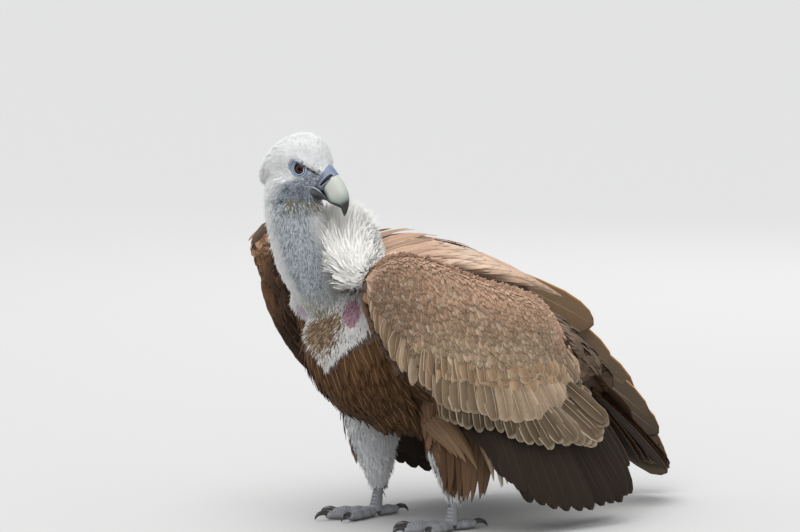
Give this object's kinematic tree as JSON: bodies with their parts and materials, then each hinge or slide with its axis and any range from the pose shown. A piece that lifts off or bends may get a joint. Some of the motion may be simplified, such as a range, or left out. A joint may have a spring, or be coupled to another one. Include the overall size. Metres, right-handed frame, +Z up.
{
  "type": "griffon vulture",
  "caption": "Life-size still model of a griffon vulture standing with its wings hanging a little open, its white ruff raised and its head turned to its left.",
  "frame": {"origin": "on the floor, under the middle of the whole bird's box", "axes": "+Z up; the bird faces -Y and its left side is +X, so Y runs from breast to tail and is the longest extent"},
  "size_m": [0.4186, 0.6776, 0.5631],
  "materials": {
    "white_down": "matte",
    "brown_feather": "matte",
    "dark_feather": "satin",
    "cere": "satin",
    "horn": "satin",
    "dark_horn": "satin",
    "foot_skin": "satin",
    "claw": "satin",
    "eye": "polished"
  },
  "bodies": {
    "root": {"bill_lower": "dark_horn", "bill_upper": "horn", "cere": "cere", "claw_left_hind": "claw", "claw_left_inner": "claw", "claw_left_middle": "claw", "claw_left_outer": "claw", "claw_right_hind": "claw", "claw_right_inner": "claw", "claw_right_middle": "claw", "claw_right_outer": "claw", "eye_left": "eye", "eye_right": "eye", "head": "white_down", "leg_left_tarsus": "foot_skin", "leg_left_thigh": "brown_feather", "leg_right_tarsus": "foot_skin", "leg_right_thigh": "brown_feather", "neck": "white_down", "ruff": "white_down", "tail": "dark_feather", "toe_left_hind": "foot_skin", "toe_left_inner": "foot_skin", "toe_left_middle": "foot_skin", "toe_left_outer": "foot_skin", "toe_right_hind": "foot_skin", "toe_right_inner": "foot_skin", "toe_right_middle": "foot_skin", "toe_right_outer": "foot_skin", "torso": "brown_feather", "wing_left_arm": "brown_feather", "wing_left_hand": "dark_feather", "wing_right_arm": "brown_feather", "wing_right_hand": "dark_feather"}
  },
  "joints": []
}
